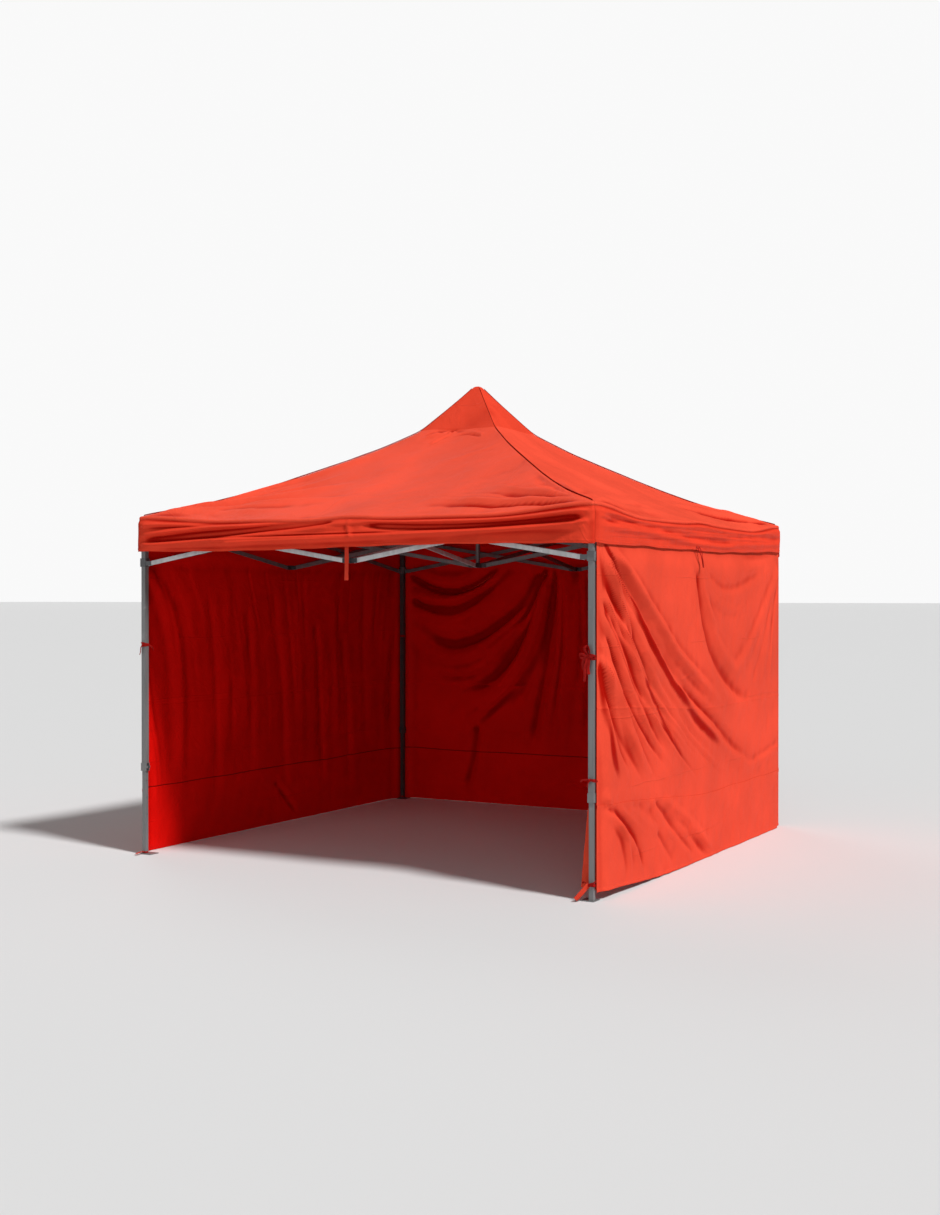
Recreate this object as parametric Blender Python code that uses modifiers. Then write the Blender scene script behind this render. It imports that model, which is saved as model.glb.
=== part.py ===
"""Pop up canopy, 3 m square: folding scissor frame, telescopic legs, roof and three walls.

Metres, +Z up, standing on z = 0 with the open front towards -Y. Every side and corner is one
template, turned about the centre in quarter turns. Left and right are as seen from outside a side.
"""

from math import cos, radians, sin

import bmesh
import bpy
from mathutils import Matrix, Vector

MM = 0.001

# Driving sizes
HALF = 1.470  # from the centre to a leg's axis, along X and along Y
HIGH_PIN = 1.975  # height of every upper pivot
TILT = radians(9.5)  # slope of each bar when the frame stands open
LEG_PIN = 0.050  # from a leg's axis to the pivots beside it
MID_PIN = 0.038  # from a side's middle to the pivots of its side bars
INNER_PIN = 0.040  # from a side's middle to the pivot of its hub bar
HUB_PIN = LEG_PIN + MID_PIN - INNER_PIN  # so that side bars and hub bars are equally long
SPAN = HALF - LEG_PIN - MID_PIN  # what each bar spans, level
BAR_LENGTH = SPAN / cos(TILT)  # from end pivot to end pivot
LOW_PIN = HIGH_PIN - BAR_LENGTH * sin(TILT)
MID_HEIGHT = (HIGH_PIN + LOW_PIN) / 2

# Bars, pins and the forks that hold them
BAR_THICK = 12 * MM
BAR_TALL = 26 * MM
WALL = 1 * MM
PLANE = 8.5 * MM  # each bar of a crossed pair lies this far from the pair's middle plane
PIN_RADIUS = 3 * MM
HOLE_RADIUS = 3.4 * MM
PLATE = 3.2 * MM
FREE = 0.5 * MM  # running clearance beside a bar
HEAD = 2 * MM
ROUND = 8  # sides of a small pin or hole

# Legs
OUTER_LEG = 30 * MM
INNER_LEG = 25 * MM
LEG_WALL = 1.2 * MM
OUTER_BOTTOM = 0.530
COLLAR_BOTTOM, COLLAR_TOP = 0.500, 0.548
INNER_TOP = 0.800
LEG_TOP = 2.020
FOOT_THICK = 4 * MM
LATCH_AXIS = Vector((24 * MM, 0, 0.524))  # from the leg's axis
LOCK_HEIGHT = 0.541
HEIGHT_STEP = 0.100

# Centre pole
POLE_RADIUS = 14 * MM
PEAK_TUBE_RADIUS = 11.9 * MM
POLE_TOP = 2.500
PEAK_TUBE_BOTTOM, PEAK_TUBE_TOP = 1.950, 2.840
HUB_RADIUS = 26 * MM

# Fabric
FABRIC = 1.5 * MM
EAVE = 1.502  # from the centre to the valance's outer face
EAVE_HEIGHT = 2.030
VALANCE_DROP = 0.200
PEAK_HEIGHT = 2.880
CONE = 0.14  # share of the roof's run that the steep reinforced peak takes
WALL_FACE = 1.4955  # from the centre to a wall's outer face
WALL_BOTTOM, WALL_TOP = 0.045, 1.900
WALL_HALF = 1.485
CANOPY_AXIS = Vector((0, -EAVE - 6 * MM, EAVE_HEIGHT + 3.5 * MM))

SIDES = ("front", "right", "back", "left")
CORNERS = ("front_left", "front_right", "back_right", "back_left")
HALVES = {"left": -1, "right": 1}

for old in list(bpy.data.objects):
    bpy.data.objects.remove(old)
canopy_parts = bpy.data.collections.new("pop_up_canopy")
bpy.context.scene.collection.children.link(canopy_parts)


def make_material(name, color, roughness, metallic=0.0):
    made = bpy.data.materials.new(name)
    made.use_nodes = True
    shader = made.node_tree.nodes["Principled BSDF"]
    shader.inputs["Base Color"].default_value = (*color, 1)
    shader.inputs["Roughness"].default_value = roughness
    shader.inputs["Metallic"].default_value = metallic
    return made


FRAME_GREY = make_material("frame_grey", (0.26, 0.26, 0.27), 0.45, 0.3)
BRACKET_BLACK = make_material("bracket_black", (0.05, 0.05, 0.055), 0.5)
CAP_BLACK = make_material("cap_black", (0.03, 0.03, 0.03), 0.6)
ROOF_RED = make_material("roof_red", (0.80, 0.05, 0.02), 0.75)
WALL_RED = make_material("wall_red", (0.78, 0.045, 0.02), 0.8)


# Shapes


def new_object(name, mesh_maker):
    """An object whose mesh a bmesh function fills."""
    shape = bmesh.new()
    mesh_maker(shape)
    bmesh.ops.recalc_face_normals(shape, faces=shape.faces)
    mesh = bpy.data.meshes.new(name)
    shape.to_mesh(mesh)
    shape.free()
    made = bpy.data.objects.new(name, mesh)
    canopy_parts.objects.link(made)
    return made


def block(low, high):
    """A box between two corners."""
    low, high = Vector(low), Vector(high)
    size = Matrix.Diagonal((*(high - low), 1))

    def fill(shape):
        bmesh.ops.create_cube(shape, size=1, matrix=Matrix.Translation((low + high) / 2) @ size)

    return new_object("block", fill)


def square_bar(half, bottom, top):
    """An upright square bar about the Z axis."""
    return block((-half, -half, bottom), (half, half, top))


def rod(start, end, radius, sides=ROUND):
    """A round bar between two points."""
    start, end = Vector(start), Vector(end)
    along = end - start
    turn = along.to_track_quat("Z", "Y").to_matrix().to_4x4()

    def fill(shape):
        bmesh.ops.create_cone(
            shape,
            cap_ends=True,
            segments=sides,
            radius1=radius,
            radius2=radius,
            depth=along.length,
            matrix=Matrix.Translation((start + end) / 2) @ turn,
        )

    return new_object("rod", fill)


def combine(operation, body, tools):
    """Joins the tools to body, or cuts them from it, and removes them."""
    for tool in tools:
        boolean = body.modifiers.new(operation, "BOOLEAN")
        boolean.operation = operation
        boolean.object = tool
    graph = bpy.context.evaluated_depsgraph_get()
    body.data = bpy.data.meshes.new_from_object(body.evaluated_get(graph))
    body.modifiers.clear()
    for tool in tools:
        bpy.data.objects.remove(tool)
    return body


def joined(body, *tools):
    return combine("UNION", body, tools)


def cut(body, *tools):
    return combine("DIFFERENCE", body, tools)


def turned(pieces, quarter_turns):
    """The same pieces, turned about the Z axis."""
    for piece in pieces:
        piece.data.transform(Matrix.Rotation(radians(90 * quarter_turns), 4, "Z"))
    return pieces


def fork(start, pin, plane, height=0.0):
    """Two plates and a pin that hold a bar's end. It points along +X, about a bar in the plane y = plane."""
    inside = BAR_THICK / 2 + FREE
    outside = inside + PLATE
    tall = 13 * MM
    end = pin + 10 * MM
    return [
        block((start, plane - outside, height - tall), (end, plane - inside, height + tall)),
        block((start, plane + inside, height - tall), (end, plane + outside, height + tall)),
        rod(
            (pin, plane - outside - 1.2 * MM, height),
            (pin, plane + outside + 1.2 * MM, height),
            PIN_RADIUS,
        ),
    ]


# Placing


def place(name, template, material, location, turns=0, tilt=0.0, pivot=None):
    """A copy of a template on its joint's axis: turned by quarter turns about Z, after a tilt about Y."""
    made = bpy.data.objects.new(name, template.data.copy())
    made.data.materials.clear()
    made.data.materials.append(material)
    canopy_parts.objects.link(made)
    quarter = Matrix.Rotation(radians(90 * turns), 4, "Z")
    made.matrix_world = Matrix.Translation(location) @ quarter @ Matrix.Rotation(tilt, 4, "Y")
    if pivot is not None:
        axis = bpy.data.objects.new(name + "_axis", None)
        axis.empty_display_size = 0.05
        axis.location = pivot
        canopy_parts.objects.link(axis)
        made.parent = axis
        made.matrix_parent_inverse = Matrix.Translation(-Vector(pivot))
    return made


def around(turns, point):
    """A point of the front side, carried to the side that is this many quarter turns round."""
    return Matrix.Rotation(radians(90 * turns), 4, "Z") @ Vector(point)


# Bars


def bar_tube():
    """A bar of rectangular tube along X about its middle, with its two end holes."""
    reach = BAR_LENGTH / 2 + BAR_TALL / 2
    body = block((-reach, -BAR_THICK / 2, -BAR_TALL / 2), (reach, BAR_THICK / 2, BAR_TALL / 2))
    shape = bmesh.new()
    shape.from_mesh(body.data)
    long_edges = [e for e in shape.edges if abs(e.verts[0].co.x - e.verts[1].co.x) > reach]
    bmesh.ops.bevel(shape, geom=long_edges, offset=2 * MM, segments=1, affect="EDGES")
    shape.to_mesh(body.data)
    shape.free()
    side, tall = BAR_THICK / 2 - WALL, BAR_TALL / 2 - 2.4 * MM
    bore = block((-reach - MM, -side, -tall), (reach + MM, side, tall))
    ends = [pin_hole(x) for x in (-BAR_LENGTH / 2, BAR_LENGTH / 2)]
    return cut(body, bore, *ends)


def pin_hole(x):
    return rod((x, -BAR_THICK, 0), (x, BAR_THICK, 0), HOLE_RADIUS)


def plain_bar():
    """The bar of a crossed pair whose middle hole takes the other's rivet."""
    return cut(bar_tube(), pin_hole(0))


def riveted_bar():
    """The bar of a crossed pair that holds the rivet, which runs through its partner on the +Y side."""
    near = -BAR_THICK / 2 - HEAD
    far = 2 * PLANE + BAR_THICK / 2 + 0.3 * MM
    shank = rod((0, near + MM, 0), (0, far + MM, 0), PIN_RADIUS)
    near_head = rod((0, near, 0), (0, near + HEAD + 0.5 * MM, 0), 6 * MM)
    far_head = rod((0, far, 0), (0, far + HEAD, 0), 6 * MM)
    return joined(bar_tube(), shank, near_head, far_head)


def add_bars():
    plain, riveted = plain_bar(), riveted_bar()
    for turns, side in enumerate(SIDES):
        middle = HUB_PIN + SPAN / 2
        low_bar = around(turns, (PLANE, -middle, MID_HEIGHT))
        high_bar = around(turns, (-PLANE, -middle, MID_HEIGHT))
        hub_pivot = around(turns, (PLANE, -HUB_PIN, LOW_PIN))
        place(f"hub_bar_low_{side}", riveted, FRAME_GREY, low_bar, turns + 1, TILT, hub_pivot)
        place(f"hub_bar_high_{side}", plain, FRAME_GREY, high_bar, turns + 1, -TILT)
        for half, sign in HALVES.items():
            middle = sign * (MID_PIN + SPAN / 2)
            outer = around(turns, (middle, -HALF - PLANE, MID_HEIGHT))
            inner = around(turns, (middle, -HALF + PLANE, MID_HEIGHT))
            pivot = around(turns, (sign * MID_PIN, -HALF - PLANE, HIGH_PIN))
            name = f"{side}_{half}"
            place(f"outer_bar_{name}", riveted, FRAME_GREY, outer, turns, sign * TILT, pivot)
            place(f"inner_bar_{name}", plain, FRAME_GREY, inner, turns, -sign * TILT)
    for template in (plain, riveted):
        bpy.data.objects.remove(template)


# Brackets at the middle of each side


def high_bracket():
    """Holds the two outer side bars and the low hub bar. Its middle is the side's middle; +Y points in."""
    body = block((-12 * MM, -20 * MM, -15 * MM), (15 * MM, 14 * MM, 15 * MM))
    right = fork(12 * MM, MID_PIN, -PLANE)
    left = turned(fork(10 * MM, MID_PIN, PLANE), 2)
    inner = turned(fork(10 * MM, INNER_PIN, -PLANE), 1)
    return joined(body, *right, *left, *inner)


def low_bracket():
    """Holds the two inner side bars and the high hub bar."""
    body = block((-15 * MM, -8 * MM, -15 * MM), (12 * MM, 19 * MM, 15 * MM))
    right = fork(10 * MM, MID_PIN, PLANE)
    left = turned(fork(12 * MM, MID_PIN, -PLANE), 2)
    inner = turned(fork(15 * MM, INNER_PIN, PLANE), 1)
    return joined(body, *right, *left, *inner)


def add_mid_brackets():
    high, low = high_bracket(), low_bracket()
    for turns, side in enumerate(SIDES):
        for name, template, height in (("high", high, HIGH_PIN), ("low", low, LOW_PIN)):
            middle = around(turns, (0, -HALF, height))
            pivot = around(turns, (0, -HALF + INNER_PIN, height))
            place(f"mid_bracket_{name}_{side}", template, BRACKET_BLACK, middle, turns, 0, pivot)
    for template in (high, low):
        bpy.data.objects.remove(template)


# Centre: hubs, pole, peak tube and cap


def hub(plane):
    """A hub about Z with four forks, whose bars lie off each side's middle plane."""
    body = rod((0, 0, -15 * MM), (0, 0, 15 * MM), HUB_RADIUS, 16)
    forks = [p for turns in range(4) for p in turned(fork(19 * MM, HUB_PIN, plane), turns - 1)]
    return joined(body, *forks)


def tube(outer, inner, bottom, top, sides=16):
    """A round tube about Z, open at both ends."""
    body = rod((0, 0, bottom), (0, 0, top), outer, sides)
    return cut(body, rod((0, 0, bottom - MM), (0, 0, top + MM), inner, sides))


def peak_cap():
    """The domed cap that lifts the roof, sprung on the peak tube."""
    edge, bottom, top = 26 * MM, PEAK_TUBE_TOP - 5 * MM, 2.874
    profile = [(0, top), (12 * MM, top - 2 * MM), (21 * MM, top - 7 * MM), (edge, top - 15 * MM)]
    profile += [(edge - 4 * MM, bottom), (12.6 * MM, bottom), (12.6 * MM, top - 12 * MM)]
    profile += [(0, top - 12 * MM)]
    outline = bpy.data.meshes.new("cap_profile")
    steps = [(n, n + 1) for n in range(len(profile) - 1)]
    outline.from_pydata([(x, 0, z) for x, z in profile], steps, [])
    made = bpy.data.objects.new("cap_template", outline)
    canopy_parts.objects.link(made)
    screw = made.modifiers.new("turn", "SCREW")
    screw.steps = screw.render_steps = 24
    screw.use_merge_vertices = True
    screw.merge_threshold = 0.00001
    return combine("UNION", made, [])


def add_centre():
    lower = cut(hub(PLANE), rod((0, 0, -11 * MM), (0, 0, 20 * MM), POLE_RADIUS + 0.4 * MM, 16))
    upper = cut(hub(-PLANE), rod((0, 0, -20 * MM), (0, 0, 20 * MM), POLE_RADIUS + MM, 16))
    place("lower_hub", lower, BRACKET_BLACK, (0, 0, LOW_PIN))
    place("upper_hub", upper, BRACKET_BLACK, (0, 0, HIGH_PIN), pivot=(-PLANE, -HUB_PIN, HIGH_PIN))
    bore = POLE_RADIUS - 1.5 * MM
    pole = tube(POLE_RADIUS, bore, LOW_PIN - 10 * MM, POLE_TOP)
    place("centre_pole", pole, FRAME_GREY, (0, 0, 0))
    inner = PEAK_TUBE_RADIUS - 1.5 * MM
    peak_tube = tube(PEAK_TUBE_RADIUS, inner, PEAK_TUBE_BOTTOM, PEAK_TUBE_TOP)
    place("peak_tube", peak_tube, FRAME_GREY, (0, 0, 0), pivot=(0, 0, PEAK_TUBE_BOTTOM))
    cap = peak_cap()
    place("peak_cap", cap, CAP_BLACK, (0, 0, 0), pivot=(0, 0, PEAK_TUBE_TOP))
    for template in (lower, upper, pole, peak_tube, cap):
        bpy.data.objects.remove(template)


# Corners: outer leg, slider, inner leg, latch. Each template is the front left one about its leg's axis.


def outer_leg():
    """The square outer tube with its top bracket and, at its foot, the collar that carries the latch."""
    half = OUTER_LEG / 2
    body = square_bar(half, OUTER_BOTTOM, 2.000)
    top = square_bar(17.5 * MM, 1.945, LEG_TOP)
    collar = square_bar(18 * MM, COLLAR_BOTTOM, COLLAR_TOP)
    towards_x = fork(14.5 * MM, LEG_PIN, PLANE, HIGH_PIN)
    towards_y = turned(fork(14.5 * MM, LEG_PIN, -PLANE, HIGH_PIN), 1)
    ears = [
        block(
            (17 * MM, y - MM, LATCH_AXIS.z - 7 * MM),
            (LATCH_AXIS.x + 5 * MM, y + MM, LATCH_AXIS.z + 7 * MM),
        )
        for y in (-9.5 * MM, 9.5 * MM)
    ]
    pin = rod((LATCH_AXIS.x, -10 * MM, LATCH_AXIS.z), (LATCH_AXIS.x, 10 * MM, LATCH_AXIS.z), 2 * MM)
    joined(body, top, collar, *towards_x, *towards_y, *ears, pin)
    bore = square_bar(half - LEG_WALL, OUTER_BOTTOM, 1.985)
    mouth = square_bar(INNER_LEG / 2 + FREE, COLLAR_BOTTOM - 5 * MM, OUTER_BOTTOM + MM)
    lock_hole = rod((10 * MM, 0, LOCK_HEIGHT), (20 * MM, 0, LOCK_HEIGHT), 4.6 * MM)
    return cut(body, bore, mouth, lock_hole)


def slider():
    """The sleeve that runs on the outer leg and carries the low ends of two outer bars."""
    body = square_bar(20 * MM, LOW_PIN - 20 * MM, LOW_PIN + 30 * MM)
    towards_x = fork(17 * MM, LEG_PIN, -PLANE, LOW_PIN)
    towards_y = turned(fork(17 * MM, LEG_PIN, PLANE, LOW_PIN), 1)
    joined(body, *towards_x, *towards_y)
    return cut(body, square_bar(OUTER_LEG / 2 + FREE, LOW_PIN - 0.05, LOW_PIN + 0.05))


def inner_leg():
    """The telescopic inner tube, welded to a foot plate that reaches inwards, with its height holes."""
    half = INNER_LEG / 2
    body = square_bar(half, FOOT_THICK / 2, INNER_TOP)
    plate = block((-20 * MM, -20 * MM, 0), (56 * MM, 56 * MM, FOOT_THICK))
    joined(body, plate)
    bore = square_bar(half - LEG_WALL, 2 * FOOT_THICK, INNER_TOP + MM)
    pegs = [
        rod((x, y, -FOOT_THICK), (x, y, 2 * FOOT_THICK), 5 * MM)
        for x, y in ((42 * MM, -8 * MM), (-8 * MM, 42 * MM), (42 * MM, 42 * MM))
    ]
    heights = [LOCK_HEIGHT - n * HEIGHT_STEP for n in range(4)]
    holes = [rod((10 * MM, 0, z), (15 * MM, 0, z), 3.5 * MM) for z in heights]
    return cut(body, bore, *pegs, *holes)


def leg_latch():
    """The rocking lever on the collar. Pressing its low end in draws the lock pin out."""
    x, z = LATCH_AXIS.x, LATCH_AXIS.z
    wide = 7.5 * MM
    body = block((x - 3 * MM, -wide, z - 21 * MM), (x, wide, z + 23 * MM))
    barrel = rod((x, -wide + 0.2 * MM, z), (x, wide - 0.2 * MM, z), 4.5 * MM, 12)
    lock = rod((13.2 * MM, 0, LOCK_HEIGHT), (x - 2 * MM, 0, LOCK_HEIGHT), 2.5 * MM)
    joined(body, barrel, lock)
    return cut(body, rod((x, -2 * wide, z), (x, 2 * wide, z), 2.4 * MM))


def add_corners():
    templates = (
        ("outer_leg", outer_leg(), FRAME_GREY, (LEG_PIN, PLANE, HIGH_PIN)),
        ("slider", slider(), BRACKET_BLACK, (LEG_PIN, -PLANE, LOW_PIN)),
        ("inner_leg", inner_leg(), FRAME_GREY, (0, 0, INNER_TOP)),
        ("leg_latch", leg_latch(), BRACKET_BLACK, LATCH_AXIS),
    )
    for name, template, material, pivot in templates:
        for turns, corner in enumerate(CORNERS):
            leg = around(turns, (-HALF, -HALF, 0))
            at = leg + around(turns, pivot)
            place(f"{name}_{corner}", template, material, leg, turns, 0, at)
        bpy.data.objects.remove(template)


# Fabric


def roof_height(run):
    """Height of the roof at a distance from the centre: a sagging slope under a steep cone."""
    share = run / EAVE
    rise = 0.86 * (1 - share) ** 1.5 + 0.14 * max(0.0, 1 - share / CONE)
    return EAVE_HEIGHT + (PEAK_HEIGHT - EAVE_HEIGHT) * rise


def canopy_panel():
    """The front quarter of the roof with its valance: a grid laid over the roof, then given its thickness."""
    runs = [CONE * EAVE / 2, CONE * EAVE]
    runs += [CONE * EAVE + (1 - CONE) * EAVE * n / 7 for n in range(1, 8)]
    rows = [(12 * MM, PEAK_HEIGHT - 2 * MM), (30 * MM, PEAK_HEIGHT - 12 * MM)]
    rows += [(run, roof_height(run)) for run in runs]
    rows.append((EAVE, EAVE_HEIGHT - VALANCE_DROP))
    shape = bmesh.new()
    bmesh.ops.create_grid(shape, x_segments=2, y_segments=len(rows) - 1, size=1)
    for vertex in shape.verts:
        row = round((1 - vertex.co.y) / 2 * (len(rows) - 1))
        run, height = rows[row]
        vertex.co = Vector((vertex.co.x * (run - 2 * FABRIC), -run, height))
    mesh = bpy.data.meshes.new("canopy_panel")
    shape.to_mesh(mesh)
    shape.free()
    made = bpy.data.objects.new("canopy_panel", mesh)
    canopy_parts.objects.link(made)
    thick = made.modifiers.new("thickness", "SOLIDIFY")
    thick.thickness = FABRIC
    thick.offset = -1
    thick.use_even_offset = True
    return combine("UNION", made, [])


def add_fabric():
    panel = canopy_panel()
    for turns, side in enumerate(SIDES):
        place(f"canopy_{side}", panel, ROOF_RED, (0, 0, 0), turns, 0, around(turns, CANOPY_AXIS))
    bpy.data.objects.remove(panel)
    wall = block((-WALL_HALF, -WALL_FACE, WALL_BOTTOM), (WALL_HALF, FABRIC - WALL_FACE, WALL_TOP))
    for turns, side in enumerate(SIDES):
        if side != "front":
            pivot = around(turns, (0, -HALF + INNER_PIN, HIGH_PIN))
            place(f"wall_{side}", wall, WALL_RED, (0, 0, 0), turns, 0, pivot)
    bpy.data.objects.remove(wall)


add_bars()
add_mid_brackets()
add_centre()
add_corners()
add_fabric()
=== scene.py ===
import math

import bpy
import numpy as np
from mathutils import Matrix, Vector


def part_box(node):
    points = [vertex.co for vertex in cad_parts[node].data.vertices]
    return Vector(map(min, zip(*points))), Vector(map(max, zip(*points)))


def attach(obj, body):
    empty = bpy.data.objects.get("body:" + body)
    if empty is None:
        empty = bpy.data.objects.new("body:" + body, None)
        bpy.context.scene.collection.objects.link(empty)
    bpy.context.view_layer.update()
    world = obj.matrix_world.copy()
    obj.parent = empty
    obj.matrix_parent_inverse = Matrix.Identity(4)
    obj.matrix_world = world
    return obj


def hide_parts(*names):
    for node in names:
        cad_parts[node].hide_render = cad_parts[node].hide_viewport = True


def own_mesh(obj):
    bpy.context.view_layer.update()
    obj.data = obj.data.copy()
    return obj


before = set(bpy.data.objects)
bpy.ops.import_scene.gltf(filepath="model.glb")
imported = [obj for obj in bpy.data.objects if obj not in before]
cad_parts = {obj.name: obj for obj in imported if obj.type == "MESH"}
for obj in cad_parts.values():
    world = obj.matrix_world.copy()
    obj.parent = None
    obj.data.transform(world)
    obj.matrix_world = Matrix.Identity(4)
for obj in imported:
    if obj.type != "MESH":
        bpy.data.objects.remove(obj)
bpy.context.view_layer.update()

SIDES = ("front", "right", "back", "left")

# Sizes, in metres, from the CAD nodes
EAVE = -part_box("canopy_front")[0][1]
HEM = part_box("canopy_front")[0][2]
WALL_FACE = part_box("wall_right")[1][0]
LEG = 1.47  # the legs' axes lie this far from the middle in x and y
OUTER_HALF = 0.015  # half the widths of the outer and the inner leg tubes
INNER_HALF = 0.0125
CLOTH = 0.0011  # thickness
UP = np.array([0, 0, 1.0])

# Placing


def turn(k, x, y):
    """A point of the front side, carried k quarter turns round."""
    for _ in range(k):
        x, y = -y, x
    return x, y


def side_axis(k):
    x, y = turn(k, 1.0, 0.0)
    return (x, y, 0.0)


def on_side(k, s, d, z):
    """s along a side to the right as seen from outside, d out from the centre, z up."""
    x, y = turn(k, s, -d)
    return np.stack(np.broadcast_arrays(x, y, z), axis=-1)


def smooth(a, b, x):
    t = np.clip((x - a) / (b - a), 0, 1)
    return t * t * (3 - 2 * t)


def unit(vectors):
    return vectors / np.linalg.norm(vectors, axis=-1, keepdims=True)


def ripple(seed, u, v, waves, count=9):
    """Smooth noise of about unit height: a sum of seeded waves with lengths between two bounds."""
    draw = np.random.default_rng(seed)
    total = np.zeros(np.broadcast(u, v).shape)
    for _ in range(count):
        length = draw.uniform(*waves)
        angle = draw.uniform(0, 2 * np.pi)
        phase = draw.uniform(0, 2 * np.pi)
        total += np.sin(2 * np.pi * (u * np.cos(angle) + v * np.sin(angle)) / length + phase)
    return total / math.sqrt(count)


def spline(points, count):
    """A smooth curve through the points, sampled."""
    p = np.array(points, float)
    p = np.vstack([2 * p[0] - p[1], p, 2 * p[-1] - p[-2]])
    out = []
    spans = len(p) - 3
    for t in np.linspace(0, spans - 1e-6, count):
        i = int(t)
        f = t - i
        a, b, c, d = p[i : i + 4]
        bend = (2 * a - 5 * b + 4 * c - d) * f**2 + (3 * b - 3 * c + d - a) * f**3
        out.append(0.5 * (2 * b + (c - a) * f + bend))
    return np.array(out)


def fold(u, v, points, height, width, skew, ends, spread):
    """The height field of one fold that runs along a curve: a ridge with a hollow on its right."""
    path = spline(points, 150)
    step = unit(np.gradient(path, axis=0))
    reach = 4 * width * max(spread, 1)
    low, high = path.min(axis=0) - reach, path.max(axis=0) + reach
    u, v = np.broadcast_arrays(u, v)
    inside = (u > low[0]) & (u < high[0]) & (v > low[1]) & (v < high[1])
    p = np.stack([u[inside], v[inside]], axis=1)
    # the nearest of the curve's points: the least |path|^2 - 2 p.path
    rank = (path**2).sum(axis=1).astype(np.float32)
    turned = (-2 * path.T).astype(np.float32)
    near = np.empty(len(p), int)
    for i in range(0, len(p), 20000):
        near[i : i + 20000] = (p[i : i + 20000].astype(np.float32) @ turned + rank).argmin(axis=1)
    off = p - path[near]
    tangent = step[near]
    across = off[:, 0] * tangent[:, 1] - off[:, 1] * tangent[:, 0]
    along = (off * tangent).sum(axis=1)
    t = near / (len(path) - 1)
    wide = width * (1 + (spread - 1) * t)
    fade = smooth(0, ends[0], t) * smooth(0, ends[1], 1 - t)
    past = (near == 0) | (near == len(path) - 1)
    beyond = np.where(past, np.exp(-((along / (0.7 * wide)) ** 2)), 1.0)
    ridge = np.exp(-((across / wide) ** 2))
    hollow = np.exp(-(((across - 1.5 * wide) / (1.1 * wide)) ** 2))
    total = np.zeros(u.shape)
    total[inside] = height * fade * beyond * (ridge - skew * hollow)
    return total


def folds(u, v, lines, scale, skew, ends):
    """The height field of several folds, each given as its path, height, width and spread."""
    total = np.zeros(np.broadcast(u, v).shape)
    for points, height, width, spread in lines:
        total += fold(u, v, points, scale * height, width, skew, ends, spread)
    return total


def fan(seed, first, last, count, heights, widths, spread=1.3, whole=0.7):
    """Seeded folds that lie between two guide curves, each over its own part of their length."""
    draw = np.random.default_rng(seed)
    a, b = spline(first, 60), spline(last, 60)
    lines = []
    for i in range(count):
        t = np.clip((i + 0.5 + draw.uniform(-0.4, 0.4)) / count, 0, 1)
        lean = t + draw.uniform(-0.04, 0.04) * np.linspace(0, 1, 60)[:, None]
        curve = a * (1 - lean) + b * lean
        start = 0 if draw.random() < whole else draw.uniform(0.0, 0.55)
        stop = min(1.0, start + draw.uniform(0.35, 0.85))
        picks = np.linspace(start * 59, stop * 59, 5).astype(int)
        sign = 1 if draw.random() < 0.6 else -0.8
        wide = draw.uniform(*widths)
        lines.append((curve[picks], sign * draw.uniform(*heights) * (wide / widths[1]) ** 0.5, wide, spread))
    return lines


# Meshes


def hollows(height, reach, depth):
    """How far a height field lies under its own surroundings, from 0 to 1."""
    kernel = np.hanning(2 * reach + 3)[1:-1]
    kernel /= kernel.sum()
    level = height
    for axis in (0, 1):
        level = np.apply_along_axis(
            lambda row: np.convolve(np.pad(row, reach, "edge"), kernel, "valid"), axis, level
        )
    return smooth(0.0, depth, level - height)


def place(name, data):
    made = bpy.data.objects.new(name, data)
    bpy.context.scene.collection.objects.link(made)
    return made


def sheet_mesh(name, points, uv=None, thickness=CLOTH, flip=False, relief=None):
    """A cloth of a grid of points, closed, with thickness behind its face, and UVs in metres."""
    if uv is None:
        uv = np.stack([lengths(points, 1), lengths(points, 0)], axis=-1)
    rows, cols = points.shape[:2]
    du = np.gradient(points, axis=1)
    dv = np.gradient(points, axis=0)
    normal = np.cross(du, dv)
    normal /= np.maximum(np.linalg.norm(normal, axis=2, keepdims=True), 1e-12)
    if flip:
        normal = -normal
    back = points - normal * thickness
    verts = np.concatenate([points.reshape(-1, 3), back.reshape(-1, 3)])
    n = rows * cols
    i = np.arange(n).reshape(rows, cols)
    quads = np.stack([i[:-1, :-1], i[:-1, 1:], i[1:, 1:], i[1:, :-1]], axis=-1).reshape(-1, 4)
    rim = np.concatenate([i[0, :], i[1:, -1], i[-1, -2::-1], i[-2:0:-1, 0]])
    following = np.roll(rim, -1)
    edge = np.stack([following, rim, rim + n, following + n], axis=-1)
    if flip:
        faces = np.concatenate([quads[:, ::-1], quads + n, edge[:, ::-1]])
    else:
        faces = np.concatenate([quads, quads[:, ::-1] + n, edge])
    mesh = bpy.data.meshes.new(name)
    mesh.from_pydata(verts.tolist(), [], faces.tolist())
    layer = mesh.uv_layers.new(name="cloth")
    flat = np.tile(uv.reshape(-1, 2), (2, 1))
    loops = np.empty(len(mesh.loops), np.int32)
    mesh.loops.foreach_get("vertex_index", loops)
    layer.data.foreach_set("uv", flat[loops].astype(np.float32).ravel())
    layer_of_face = np.arange(len(faces)) // len(quads)  # 0 on the face, 1 on the back, more on the rim
    mesh.polygons.foreach_set("use_smooth", layer_of_face < 2)
    mesh.polygons.foreach_set("material_index", (layer_of_face == 1).astype(np.int32))
    # the crease attribute: how far the cloth lies under its own surroundings, which the cloth materials turn
    # into painted shade
    if relief is not None:
        height, reach, depth = relief
        crease = np.concatenate([hollows(h, reach, depth).ravel() for h in (height, -height)])
        mesh.attributes.new("crease", "FLOAT", "POINT").data.foreach_set("value", crease.astype(np.float32))
    return place(name, mesh)


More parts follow.
